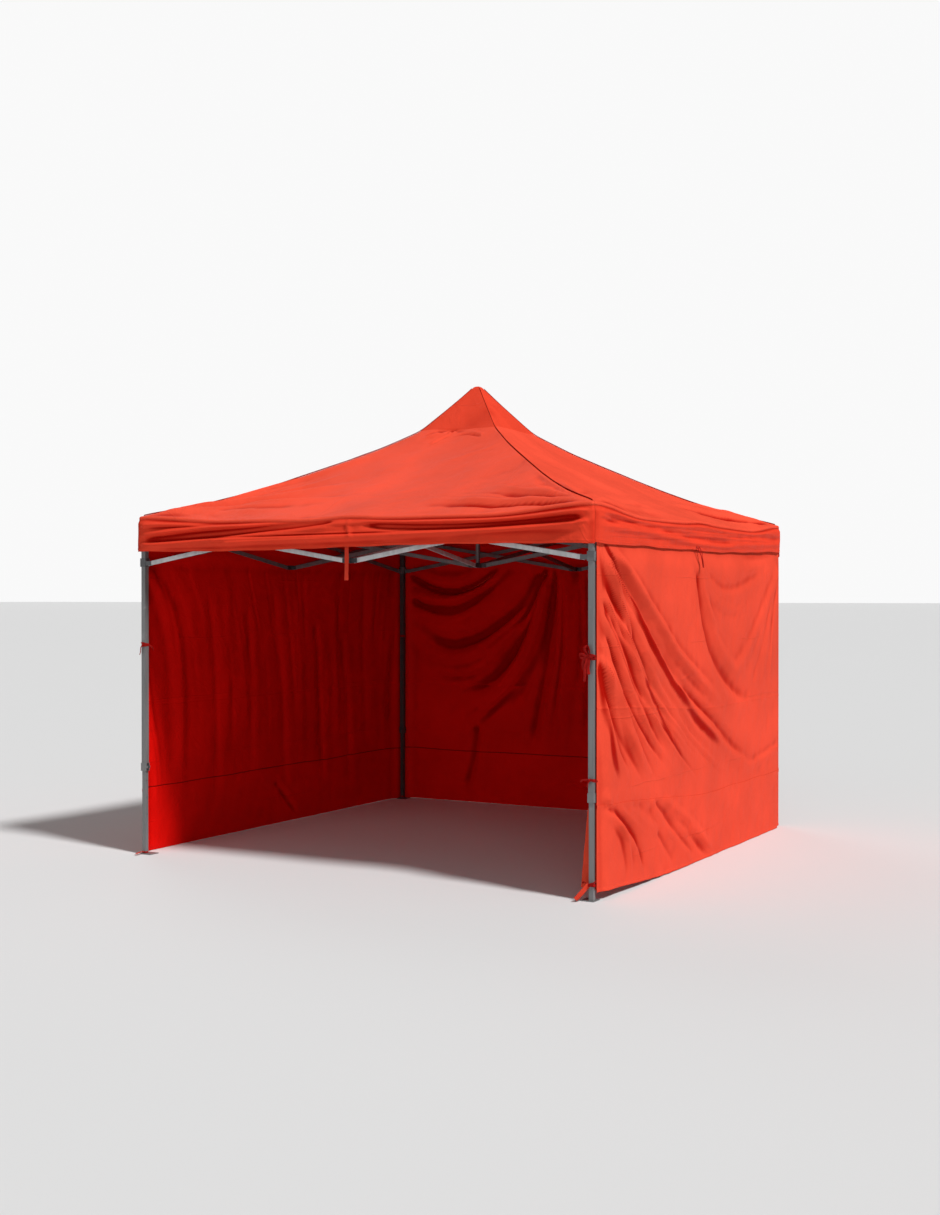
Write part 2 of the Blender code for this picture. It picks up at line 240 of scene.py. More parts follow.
def lengths(points, axis):
    """Length along a grid's lines, so that UVs are in metres."""
    steps = np.linalg.norm(np.diff(points, axis=axis), axis=2)
    total = np.cumsum(steps, axis=axis)
    pad = np.zeros_like(np.take(total, [0], axis=axis))
    return np.concatenate([pad, total], axis=axis)


# Materials


class Nodes:
    """A material's node tree, built by short calls."""

    def __init__(self, name):
        self.material = bpy.data.materials.new(name)
        self.material.use_nodes = True
        self.tree = self.material.node_tree
        self.shader = self.tree.nodes["Principled BSDF"]

    def add(self, kind, values=None, **settings):
        node = self.tree.nodes.new("ShaderNode" + kind)
        for key, value in settings.items():
            setattr(node, key, value)
        for key, value in (values or {}).items():
            self.feed(node.inputs[key], value)
        return node

    def feed(self, socket, value):
        """Links another node's output to a socket, or sets a plain value on it."""
        if isinstance(value, bpy.types.NodeSocket):
            self.tree.links.new(value, socket)
        else:
            socket.default_value = value

    def math(self, operation, a, b=0.0, c=0.0):
        return self.add("Math", {0: a, 1: b, 2: c}, operation=operation).outputs[0]

    def wave(self, value, pitch):
        return self.math("SINE", self.math("MULTIPLY", value, 2 * math.pi / pitch))

    def mix(self, factor, a, b):
        """Mixes two colours: sockets 0, 6 and 7 are the node's factor, A and B for colours."""
        node = self.add("Mix", data_type="RGBA")
        for socket, value in ((0, factor), (6, a), (7, b)):
            self.feed(node.inputs[socket], value)
        return node.outputs[2]

    def ramp(self, value, low, high):
        return self.add("MapRange", {0: value, 1: low, 2: high}).outputs[0]

    def coat(self, color, roughness, bump=None, strength=0.3, distance=0.001):
        self.feed(self.shader.inputs["Base Color"], color)
        self.feed(self.shader.inputs["Roughness"], roughness)
        if bump is not None:
            node = self.add("Bump", {"Height": bump, "Strength": strength, "Distance": distance})
            self.feed(self.shader.inputs["Normal"], node.outputs[0])
        return self.material


WEAVE = 0.0016  # the pitch of the cloth's weave
CREASE_HALF = 0.013  # half the width of a packing crease
RIB = 0.0022  # the pitch of the webbing's ribs, and of its yarns across
YARN = 0.003


def cloth_material(name, color, pitch=(0.37, 0.31), gloss=0.56, specular=0.02, sheen=0.015):
    """Coated woven polyester: weave, small wrinkles, creases from its packing, and painted shade in its
    folds: a darker, redder colour where the cloth lies in a hollow.
    """
    n = Nodes(name)
    uv = n.add("UVMap", uv_map="cloth").outputs[0]
    parts = n.add("SeparateXYZ", {0: uv})
    weave = n.math("MULTIPLY", n.wave(parts.outputs[0], WEAVE), n.wave(parts.outputs[1], WEAVE))
    warped = n.add("TexNoise", {"Vector": uv, "Scale": 3.0, "Detail": 2.0}, noise_dimensions="2D")
    height = n.math("MULTIPLY", weave, 0.05)
    lines = None
    for axis, size in enumerate(pitch):
        shift = n.math("MULTIPLY_ADD", warped.outputs[0], 0.02, parts.outputs[axis])
        share = n.math("FRACT", n.math("DIVIDE", shift, size))
        off = n.math("ABSOLUTE", n.math("SUBTRACT", share, 0.5))
        line = n.math("SUBTRACT", 1.0, n.math("DIVIDE", off, CREASE_HALF))
        line = n.math("MAXIMUM", line, 0.0)
        lines = line if lines is None else n.math("MAXIMUM", lines, line)
    patchy = n.add("TexNoise", {"Vector": uv, "Scale": 1.7, "Detail": 1.0}, noise_dimensions="2D")
    patch = n.ramp(patchy.outputs[0], 0.42, 0.62)
    lines = n.math("MULTIPLY", lines, patch)
    wrinkle = n.add(
        "TexNoise",
        {"Vector": uv, "Scale": 9.0, "Detail": 5.0, "Roughness": 0.62, "Distortion": 0.9},
        noise_dimensions="2D",
    )
    height = n.math("MULTIPLY_ADD", lines, 3.0, height)
    height = n.math("MULTIPLY_ADD", wrinkle.outputs[0], 8.5, height)
    shade = n.add("TexNoise", {"Vector": uv, "Scale": 2.2, "Detail": 6.0}, noise_dimensions="2D")
    darker = tuple(c * 0.86 for c in color[:3]) + (1,)
    base = n.mix(n.ramp(shade.outputs[0], 0.3, 0.7), darker, color)
    base = n.mix(n.math("MULTIPLY", lines, 0.35), base, darker)
    # painted shade: where the crease attribute says the cloth lies in a hollow, its colour is mixed towards
    # a darker, redder one
    crease = n.add("Attribute", attribute_name="crease").outputs["Fac"]
    painted_fold_shade = (color[0] * 0.47, color[1] * 0.08, color[2] * 0.06, 1)
    base = n.mix(crease, base, painted_fold_shade)
    rough = n.math("MULTIPLY_ADD", shade.outputs[0], 0.14, gloss - 0.07)
    made = n.coat(base, rough, height, 0.55, CLOTH)
    n.shader.inputs["Specular IOR Level"].default_value = specular
    n.shader.inputs["Specular Tint"].default_value = (1.0, 0.55, 0.45, 1)
    n.shader.inputs["Sheen Weight"].default_value = sheen
    n.shader.inputs["Sheen Roughness"].default_value = 0.4
    n.shader.inputs["Sheen Tint"].default_value = (1.0, 0.20, 0.12, 1)
    return made


def webbing_material(name, color):
    n = Nodes(name)
    uv = n.add("UVMap", uv_map="cloth").outputs[0]
    parts = n.add("SeparateXYZ", {0: uv})
    height = n.math("MULTIPLY_ADD", n.wave(parts.outputs[0], YARN), 0.4, n.wave(parts.outputs[1], RIB))
    noise = n.add("TexNoise", {"Vector": uv, "Scale": 60.0, "Detail": 3.0})
    darker = tuple(c * 0.75 for c in color[:3]) + (1,)
    n.shader.inputs["Specular IOR Level"].default_value = 0.10
    return n.coat(n.mix(noise.outputs[0], darker, color), 0.6, height, 0.4, 0.0004)


def coated_steel(name, color, metallic):
    """Powder-coated or plated tube: orange peel, faint streaks along it, rubbed patches."""
    n = Nodes(name)
    at = n.add("TexCoord").outputs["Object"]
    stretched = n.add("Mapping", {"Vector": at, "Scale": (40.0, 40.0, 2.5)}).outputs[0]
    streak = n.add("TexNoise", {"Vector": stretched, "Scale": 1.0, "Detail": 4.0}).outputs[0]
    peel = n.add("TexNoise", {"Vector": at, "Scale": 420.0, "Detail": 2.0}).outputs[0]
    rub = n.add("TexNoise", {"Vector": at, "Scale": 14.0, "Detail": 6.0, "Roughness": 0.7}).outputs[0]
    worn = n.ramp(rub, 0.6, 0.72)
    lighter = tuple(min(1, c * 1.35 + 0.02) for c in color[:3]) + (1,)
    darker = tuple(c * 0.8 for c in color[:3]) + (1,)
    base = n.mix(n.ramp(streak, 0.35, 0.65), darker, color)
    base = n.mix(n.math("MULTIPLY", worn, 0.5), base, lighter)
    rough = n.math("MULTIPLY_ADD", streak, 0.18, 0.33)
    made = n.coat(base, rough, peel, 0.12, 0.0006)
    n.shader.inputs["Metallic"].default_value = metallic
    return made


def moulded_plastic(name, color):
    n = Nodes(name)
    at = n.add("TexCoord").outputs["Object"]
    grain = n.add("TexVoronoi", {"Vector": at, "Scale": 900.0}).outputs[0]
    dust = n.add("TexNoise", {"Vector": at, "Scale": 25.0, "Detail": 6.0}).outputs[0]
    lighter = tuple(c * 1.6 + 0.01 for c in color[:3]) + (1,)
    base = n.mix(n.ramp(dust, 0.45, 0.75), color, lighter)
    return n.coat(base, n.math("MULTIPLY_ADD", dust, 0.2, 0.42), grain, 0.2, 0.0005)


RED = (0.84, 0.076, 0.038, 1)
# painted light: the roof's copy of the red cloth is lighter than the walls' cloth, for the light on the
# canopy's top
painted_light_roof_cloth = cloth_material("painted_light_roof_cloth", (0.90, 0.088, 0.044, 1), (0.48, 0.40), 0.54, 0.03)
# painted shade: the valance's copy of the red cloth is darker and redder than the walls' cloth
painted_shade_valance_cloth = cloth_material("painted_shade_valance_cloth", (0.83, 0.058, 0.026, 1), (0.48, 0.40), 0.54, 0.04)
peak_cloth = cloth_material("peak_cloth", (0.79, 0.062, 0.028, 1), (0.48, 0.40), 0.54, 0.03)
wall_cloth = cloth_material("wall_cloth", RED, (0.31, 0.37))
# painted shade: the inner side of every cloth is a deeper, redder copy of the red cloth, for the shade
# inside the tent
painted_shade_inner_cloth = cloth_material("painted_shade_inner_cloth", (0.80, 0.005, 0.003, 1), (0.31, 0.37), 0.6, 0.05, 0.0)
# painted shade: the hip seams' cloth is a dark copy of the red cloth, for the shade on the standing seams
painted_shade_seam_cloth = cloth_material("painted_shade_seam_cloth", (0.30, 0.012, 0.007, 1))
seam_line = cloth_material("seam_line", (0.64, 0.038, 0.015, 1))
inner_seam = cloth_material("inner_seam", (0.24, 0.004, 0.003, 1))
strap_cloth = webbing_material("strap_cloth", (0.78, 0.055, 0.025, 1))
tie_cloth = webbing_material("tie_cloth", (0.42, 0.008, 0.006, 1))
leg_steel = coated_steel("leg_steel", (0.225, 0.226, 0.228, 1), 0.2)
# painted shade and painted light: the back legs and the bars off the front get dark copies of the one steel,
# the front bars a light copy
painted_shade_leg_steel = coated_steel("painted_shade_leg_steel", (0.055, 0.055, 0.057, 1), 0.1)
painted_light_bar_steel = coated_steel("painted_light_bar_steel", (0.66, 0.66, 0.665, 1), 0.25)
painted_shade_bar_steel = coated_steel("painted_shade_bar_steel", (0.16, 0.16, 0.163, 1), 0.25)
dark_plastic = moulded_plastic("dark_plastic", (0.035, 0.036, 0.04, 1))
slider_plastic = moulded_plastic("slider_plastic", (0.11, 0.11, 0.115, 1))


def dress(obj, *materials):
    slots = obj.data.materials
    while len(slots) > len(materials):
        slots.pop(index=len(slots) - 1)
    for i, material in enumerate(materials):
        if i < len(slots):
            slots[i] = material
        else:
            slots.append(material)


# the back legs and the bars off the front side take the painted shade steels, the front bars the painted
# light steel
for name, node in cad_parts.items():
    if name.startswith(("outer_leg", "inner_leg")):
        dress(node, painted_shade_leg_steel if "_back_" in name else leg_steel)
    elif name.startswith(("hub_bar", "outer_bar", "inner_bar", "centre_pole", "peak_tube")):
        dress(node, painted_light_bar_steel if "front" in name else painted_shade_bar_steel)
    elif name.startswith("slider"):
        dress(node, slider_plastic)
    elif not name.startswith(("canopy", "wall")):
        dress(node, dark_plastic)


# The roof: one sheet, sewn from four quarters along the hips

CORNER_ROUND = 0.03
SEAM_DROP = 0.018  # the eave seam lies this far under the eave's edge
EAVE_CORNER = 2.022  # heights of the eave: on the legs, between them, and in PROFILE near its end
EAVE_BETWEEN = 1.976
EAVE_PROFILE = 2.018
ROOF_DEPTH = 1.6  # how deep the roof's folds are
DOUBLED = 0.1765  # the peak is doubled down to this share of the run
# the roof's section: distance from the middle, height
PROFILE = [
    (0.0, 2.881), (0.012, 2.88), (0.022, 2.873), (0.05, 2.838), (0.1, 2.776), (0.18, 2.684),
    (0.265, 2.584), (0.36, 2.523), (0.45, 2.466), (0.6, 2.386), (0.75, 2.311), (0.9, 2.236),
    (1.05, 2.169), (1.2, 2.112), (1.35, 2.064), (1.47, 2.03), (EAVE, 2.016),
]


def outline(sigma):
    """The eave seen from above on one side, for -1 to 1 from corner to corner: (s, d)."""
    r = CORNER_ROUND
    straight = EAVE - r
    arc = r * math.pi / 4
    run = np.abs(sigma) * (straight + arc)
    angle = np.clip((run - straight) / r, 0, None)
    s = np.where(run < straight, run, straight + r * np.sin(angle))
    d = np.where(run < straight, EAVE, straight + r * np.cos(angle))
    return np.sign(sigma) * s, d


def roof_profile(run):
    fine = np.linspace(0, EAVE, 400)
    z = np.interp(fine, *zip(*PROFILE))
    core = z.copy()
    for _ in range(2):
        core[7:-7] = np.convolve(core, np.ones(15) / 15, "valid")
    blend = smooth(0.03, 0.1, fine)
    return np.interp(run, fine, z + (core - z) * blend)


def eave_height(k, s):
    """The fabric lies on the leg tops and on the middle brackets, and sags between them."""
    corner = smooth(0.75, 1.46, np.abs(s)) ** 1.5
    middle = (0.016 if k == 0 else 0.011) * np.exp(-((s / 0.2) ** 2))
    span = EAVE_BETWEEN + 0.003 * np.sin(3.1 * s + k) + (0.012 * smooth(-0.1, -0.6, s) if k == 0 else 0)
    return span + (EAVE_CORNER - span) * corner + middle


# folds by side: path (along the side, out from the middle), height, width, spread
ROOF_FOLDS = {2: [], 3: []}
ROOF_FOLDS[0] = [
    ([(-1.47, 1.46), (-1.1, 1.24), (-0.62, 1.02), (-0.25, 0.86)], 0.016, 0.03, 1.6),
    ([(-1.46, 1.47), (-1.05, 1.34), (-0.55, 1.21), (-0.05, 1.13)], 0.02, 0.034, 1.6),
    ([(-1.4, 1.36), (-1.0, 1.02), (-0.62, 0.7), (-0.36, 0.45)], 0.012, 0.022, 1.6),
    ([(1.46, 1.47), (1.1, 1.37), (0.68, 1.3), (0.3, 1.27)], 0.009, 0.026, 1.6),
    ([(1.47, 1.46), (1.25, 1.22), (1.02, 1.0), (0.8, 0.8)], 0.012, 0.02, 1.6),
    ([(1.46, 1.46), (1.18, 1.3), (0.8, 1.12), (0.38, 0.95)], 0.012, 0.028, 1.6),
    ([(-0.2, 0.345), (-0.06, 0.292), (0.1, 0.315)], 0.007, 0.01, 1.0),
    ([(-0.12, 0.42), (-0.03, 0.31), (0.02, 0.272)], 0.008, 0.009, 1.0),
    ([(0.23, 0.34), (0.1, 0.3), (-0.02, 0.33)], 0.006, 0.011, 1.0),
    ([(0.4, 0.46), (0.22, 0.6), (0.1, 0.72)], 0.002, 0.022, 1.3),
]
ROOF_FOLDS[0] += fan(
    61, [(-1.46, 1.47), (-1.0, 1.39), (-0.4, 1.32), (0.2, 1.25)],
    [(-1.43, 1.42), (-1.1, 1.13), (-0.75, 0.84), (-0.4, 0.52)], 14, (0.004, 0.011), (0.012, 0.03), 1.8)
ROOF_FOLDS[0] += fan(
    62, [(1.46, 1.47), (1.0, 1.4), (0.5, 1.35), (0.0, 1.32)],
    [(1.43, 1.42), (1.15, 1.14), (0.95, 0.97), (0.75, 0.8)], 12, (0.004, 0.011), (0.012, 0.028), 1.8)
ROOF_FOLDS[1] = [
    ([(-1.46, 1.47), (-1.05, 1.4), (-0.55, 1.36), (-0.1, 1.34)], 0.015, 0.03, 1.6),
    ([(-1.46, 1.46), (-1.22, 1.24), (-0.98, 1.08), (-0.78, 0.96)], 0.009, 0.02, 1.5),
    ([(-1.42, 1.42), (-1.3, 1.2), (-1.12, 1.16)], 0.01, 0.01, 1.3),
    ([(-1.28, 1.3), (-1.16, 1.12), (-1.02, 1.1)], 0.009, 0.009, 1.3),
    ([(1.46, 1.46), (1.05, 1.3), (0.6, 1.18), (0.15, 1.1)], 0.012, 0.03, 1.5),
]
ROOF_FOLDS[1] += fan(
    63, [(-1.46, 1.47), (-1.0, 1.41), (-0.4, 1.36), (0.2, 1.32)],
    [(-1.43, 1.42), (-1.1, 1.14), (-0.75, 0.9), (-0.4, 0.6)], 10, (0.003, 0.008), (0.012, 0.03), 1.8)
ROOF_FOLDS[1] += fan(
    64, [(1.46, 1.47), (1.0, 1.4), (0.5, 1.34), (0.0, 1.3)],
    [(1.43, 1.42), (1.15, 1.16), (0.85, 0.93), (0.55, 0.66)], 10, (0.003, 0.009), (0.012, 0.03), 1.8)
for k in (2, 3):
    for end in (-1, 1):
        ROOF_FOLDS[k] += fan(
            65 + 2 * k + end,
            [(end * 1.46, 1.47), (end, 1.39), (end * 0.45, 1.32), (-end * 0.1, 1.26)],
            [(end * 1.43, 1.42), (end * 1.12, 1.14), (end * 0.8, 0.86), (end * 0.45, 0.55)],
            11, (0.005, 0.014), (0.014, 0.034), 1.8)


def roof_wrinkles(k, s, d, sigma):
    """Height of the folds that run from the corners and the peak, over a quarter of the roof."""
    total = folds(s, d, ROOF_FOLDS[k], ROOF_DEPTH, 0.7, (0.12, 0.45))
    total += 0.004 * ripple(11 + k, s, d, (0.25, 0.7))
    total += 0.0009 * ripple(31 + k, s, d, (0.07, 0.16))
    rest = smooth(0.05, 0.22, d) * (1 - smooth(0.968 * EAVE, 0.997 * EAVE, d))
    rest = rest * (1 - 0.85 * smooth(1.2, 1.44, np.abs(s)) * smooth(1.2, 1.42, d))
    return total * rest * smooth(0.0, 0.035, (1 - np.abs(sigma)) * np.maximum(d, 0.3))


def make_roof(k, side):
    rho = np.concatenate(
        [
            [0.0006, 0.004, 0.007, 0.01, 0.0145, 0.02, 0.03, 0.045, 0.065, 0.09, 0.115, 0.14, 0.16],
            [0.17, DOUBLED - 0.001, DOUBLED + 0.001, 0.183, 0.19],
            np.linspace(0.205, 0.965, 120),
            [0.975, 0.984, 0.99],
        ]
    )
    sigma = np.linspace(-1, 1, 301)
    s0, d0 = outline(sigma)
    run = rho[:, None] * np.ones_like(s0)[None]
    s = run * s0[None]
    d = run * d0[None]
    z = np.repeat(roof_profile(rho * EAVE)[:, None], len(sigma), axis=1)
    edge = eave_height(k, s0)[None]
    z = z + smooth(0.78, 0.995, run) * (edge - EAVE_PROFILE) * np.ones_like(z)
    hollow = 0.02 * np.sin(np.pi * np.clip((run - 0.2) / 0.8, 0, 1)) * (1 - np.abs(sigma)[None] ** 2.4)
    doubled = 0.0016 * (1 - smooth(DOUBLED - 0.001, DOUBLED + 0.001, run))
    wrinkles = roof_wrinkles(k, s, d, sigma[None] + 0 * s)
    z = z - hollow + doubled + wrinkles
    rows = [on_side(k, s, d, z)]
    last = z[-1]
    inset = (1 - rho[-1]) * d0
    for angle in (25, 50, 70, 90):
        a = math.radians(angle)
        out_s = s[-1] + (s0 - s[-1]) * math.sin(a)
        out_d = d[-1] + (d0 - d[-1]) * math.sin(a)
        rows.append(on_side(k, out_s, out_d, last - inset * 0.8 * (1 - math.cos(a)))[None])
    seam_z = edge[0] - SEAM_DROP
    rows.append(on_side(k, s0, d0 + 0.0004, seam_z)[None])
    points = np.concatenate(rows)
    uv = np.stack([points @ np.array(side_axis(k)), lengths(points, 0)], axis=-1)
    # the roof's wrinkles, read only for the painted shade in its hollows
    height = np.zeros(points.shape[:2])
    height[: len(rho)] = wrinkles
    made = sheet_mesh("roof_" + side, points, uv, flip=True, relief=(height, 7, 0.009))
    dress(made, painted_light_roof_cloth, painted_shade_inner_cloth, peak_cloth)
    doubled_rows = int((rho < DOUBLED).sum())
    for face in made.data.polygons[: doubled_rows * (len(sigma) - 1)]:
        face.material_index = 2
    return made


# folds by side: path (along the side, up), height, width
VALANCE_FOLDS = {}
VALANCE_FOLDS[0] = [
    ([(-1.49, 1.905), (-0.9, 1.945), (-0.38, 1.968), (-0.02, 1.985)], 0.018, 0.014),
    ([(-1.49, 1.872), (-0.9, 1.905), (-0.38, 1.94), (-0.05, 1.968)], -0.042, 0.019),
    ([(-1.49, 1.835), (-0.6, 1.858), (0.26, 1.872), (0.95, 1.896), (1.48, 1.905)], 0.024, 0.02),
    ([(1.49, 1.985), (1.1, 1.962), (0.6, 1.955), (0.05, 1.965)], 0.012, 0.012),
    ([(1.48, 1.955), (1.01, 1.922), (0.55, 1.915), (0.08, 1.938)], -0.038, 0.017),
    ([(1.48, 1.93), (1.15, 1.9), (0.8, 1.885)], 0.01, 0.01),
    ([(-1.48, 1.86), (-1.1, 1.862), (-0.75, 1.875)], 0.01, 0.01),
    ([(-1.48, 1.965), (-1.15, 1.975), (-0.75, 1.985)], 0.008, 0.01),
    ([(0.03, 1.985), (0.02, 1.93), (0.05, 1.86)], 0.007, 0.012),
]
VALANCE_FOLDS[1] = [
    ([(-1.49, 1.975), (-0.83, 1.958), (0.24, 1.955), (1.45, 1.965)], 0.013, 0.015),
    ([(-1.49, 1.94), (-0.83, 1.925), (-0.14, 1.888), (0.66, 1.868)], -0.018, 0.018),
    ([(-1.47, 1.9), (-0.8, 1.885), (-0.1, 1.85), (0.6, 1.845)], 0.012, 0.016),
    ([(1.48, 1.93), (0.95, 1.925), (0.35, 1.905)], -0.013, 0.014),
    ([(1.48, 1.895), (0.9, 1.875), (0.3, 1.855)], 0.011, 0.016),
    ([(-1.48, 1.955), (-1.2, 1.93), (-0.95, 1.915)], 0.008, 0.009),
]


def valance_hem(k, s):
    rise = 0.03 * smooth(0.3, 1.5, s) if k == 1 else 0.006 * np.sin(2.3 * s + k)
    return HEM - 0.016 + rise + 0.0035 * ripple(70 + k, s, 0 * s, (0.25, 0.6), 5)


def make_valance(k, side):
    sigma = np.linspace(-1, 1, 241)
    s0, d0 = outline(sigma)
    top = eave_height(k, s0) - SEAM_DROP
    hem = valance_hem(k, s0)
    near_hem = [0.912, 0.925, 0.94, 0.96, 0.98, 0.992, 1.0]
    tau = np.concatenate([[0, 0.012, 0.022, 0.04], np.linspace(0.06, 0.9, 44), near_hem])[:, None]
    z = top[None] + (hem - top)[None] * tau
    s = np.repeat(s0[None], len(tau), axis=0)
    d = np.repeat(d0[None], len(tau), axis=0)
    out = np.zeros_like(z)
    calm = 0.55 if k == 1 else 1.0
    for points, height, width in VALANCE_FOLDS.get(k, []):
        out += fold(s, z, points, calm * height, width, 0.25, (0.1, 0.12), 1.0)
    if k not in VALANCE_FOLDS:
        draw = np.random.default_rng(90 + k)
        for row, sign in enumerate((1.4, -2.2, 1.7, -1.3, 1.2)):
            level = 1.965 - 0.03 * row + draw.uniform(-0.006, 0.006)
            left, right = draw.uniform(-0.02, 0.02, 2)
            heights = (level - 0.02 + left, level, level + 0.012, level - 0.004, level + right)
            line = list(zip((-1.48, -0.6, 0.0, 0.7, 1.48), heights))
            out += fold(s, z, line, 0.009 * sign, 0.016, 0.25, (0.12, 0.12), 1.0)
    thin = fan(
        120 + k,
        [(-1.48, 1.975), (-0.6, 1.98), (0.3, 1.975), (1.48, 1.97)],
        [(-1.48, 1.835), (-0.6, 1.85), (0.3, 1.862), (1.48, 1.88)],
        12, (0.002, 0.006), (0.004, 0.009), 1.0, 0.3,
    )
    out += folds(s, z, thin, calm, 0.4, (0.2, 0.2))
    out += 0.0024 * ripple(111 + k, s * 0.5, z, (0.1, 0.3))
    flare = (0.004 if k != 1 else -0.008) * smooth(0.35, 1.0, tau)
    out = out * (1 - 0.55 * smooth(0.8, 1.0, tau))
    stay = smooth(0.0, 0.14, tau) * (1 - 0.75 * smooth(1.4, 1.5, np.abs(s)))
    out = (out + 0.018) * stay + flare * smooth(1.52, 1.4, np.abs(s)) - 0.0004 * (tau < 0.01)
    out = np.maximum(out, -0.002)
    hem_band = 0.0012 * smooth(0.905, 0.915, tau) - 0.0012 * smooth(0.935, 0.945, tau)
    seam_dip = -0.0006 * (1 - smooth(0.0, 0.03, tau))
    scale = 1 + (out + hem_band + seam_dip) / d0[None]
    points = on_side(k, s * scale, d * scale, z)
    uv = np.stack([points @ np.array(side_axis(k)), lengths(points, 0)], axis=-1)
    made = sheet_mesh("valance_" + side, points, uv, flip=True, relief=(out, 8, 0.0065))
    dress(made, painted_shade_valance_cloth, painted_shade_inner_cloth)
    return made


def hip_seam(k, side):
    """The seam allowance that stands up along the hip at a quarter's left edge."""
    rho = np.linspace(0.02, 0.988, 90)
    s0, d0 = outline(np.array([-1.0]))
    s, d = rho * s0[0], rho * d0[0]
    z = roof_profile(rho * EAVE) + smooth(0.78, 0.995, rho) * (EAVE_CORNER - EAVE_PROFILE)
    base = on_side(k, s, d, z + 0.0008)
    wave = 0.0018 * ripple(201 + k, rho * 2.1, 0 * rho, (0.1, 0.4))
    lean = np.array(side_axis(k)) * 0.6 + np.array([*turn(k, 0.0, 1.0), 0.0]) * 0.4
    tall = 0.0085
    rows = [
        base + (UP * math.cos(angle) + lean * math.sin(angle)) * tall * share + wave[:, None] * lean * share
        for angle, share in ((0.0, 0.0), (0.15, 0.5), (0.5, 1.0))
    ]
    points = np.stack(rows, axis=1)
    made = sheet_mesh("hip_seam_" + side, points, thickness=0.0014)
    # the standing seam takes the dark painted shade copy of the cloth
    dress(made, painted_shade_seam_cloth, painted_shade_seam_cloth)
    return made


def ride_side(piece, k, side, body):
    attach(piece, body)
    middle = tuple(map(float, on_side(k, 0.0, EAVE, 2.0)))
    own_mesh(piece)


for k, side in enumerate(SIDES):
    quarter = make_roof(k, side)
    seam = hip_seam(k, side)
    valance = make_valance(k, side)
    ride_side(quarter, k, side, "roof_" + side)
    ride_side(seam, k, side, "roof_" + side)
    ride_side(valance, k, side, "mid_high_" + side)
    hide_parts("canopy_" + side)


# The walls

WALL_TOP = 1.925
# folds by wall: path (along the side, up), height, width, spread
WALL_FOLDS = {}
WALL_FOLDS["right"] = [
    ([(-1.42, 1.83), (-1.18, 1.64), (-0.91, 1.43), (-0.63, 1.22), (-0.37, 1.05), (-0.01, 0.88),
      (0.51, 0.63), (1.09, 0.44)], -0.021, 0.024, 1.8),
    ([(-1.38, 1.84), (-0.98, 1.58), (-0.7, 1.4), (-0.42, 1.21), (-0.02, 1.03), (0.4, 0.84)],
     0.015, 0.03, 1.3),
    ([(-1.42, 1.8), (-1.18, 1.5), (-0.98, 1.24), (-0.84, 1.07), (-0.56, 0.81), (-0.25, 0.57)],
     -0.014, 0.024, 1.3),
    ([(-1.42, 1.78), (-1.22, 1.46), (-1.05, 1.19), (-0.78, 0.88), (-0.45, 0.62)], 0.013, 0.026, 1.2),
    ([(-1.45, 1.72), (-1.34, 1.31), (-1.21, 1.05), (-0.98, 0.78), (-0.7, 0.52)], -0.011, 0.022, 1.2),
    ([(-1.46, 1.25), (-1.31, 1.07), (-1.11, 0.82), (-0.84, 0.56)], 0.015, 0.03, 1.3),
    ([(-1.46, 1.22), (-1.35, 0.98), (-1.22, 0.76), (-1.05, 0.58)], -0.012, 0.026, 1.2),
    ([(-0.13, 1.78), (-0.03, 1.4), (0.2, 1.14), (0.56, 0.96), (0.95, 0.9)], -0.011, 0.044, 1.2),
    ([(-0.08, 1.78), (0.08, 1.42), (0.36, 1.17), (0.75, 1.04)], 0.009, 0.042, 1.2),
    ([(-0.05, 1.8), (0.13, 1.66), (0.4, 1.6), (0.82, 1.66), (1.46, 1.83)], -0.0045, 0.036, 1.0),
    ([(1.47, 1.8), (1.1, 1.46), (0.72, 1.18), (0.35, 1.02)], 0.006, 0.04, 1.2),
    ([(1.47, 1.84), (1.05, 1.76), (0.62, 1.74)], 0.005, 0.03, 1.2),
    ([(1.48, 0.56), (1.1, 0.5), (0.72, 0.46)], 0.004, 0.028, 1.0),
    ([(-1.42, 0.5), (-1.05, 0.28), (-0.88, 0.05)], -0.01, 0.025, 1.1),
    ([(-1.44, 0.56), (-1.18, 0.3), (-1.08, 0.05)], 0.009, 0.024, 1.1),
    ([(-0.8, 0.44), (-0.4, 0.2), (-0.1, 0.03)], -0.009, 0.03, 1.2),
    ([(-0.66, 0.44), (-0.22, 0.24), (0.12, 0.05)], 0.009, 0.03, 1.2),
    ([(-1.46, 1.1), (-1.44, 0.6), (-1.42, 0.1)], 0.008, 0.022, 1.0),
]
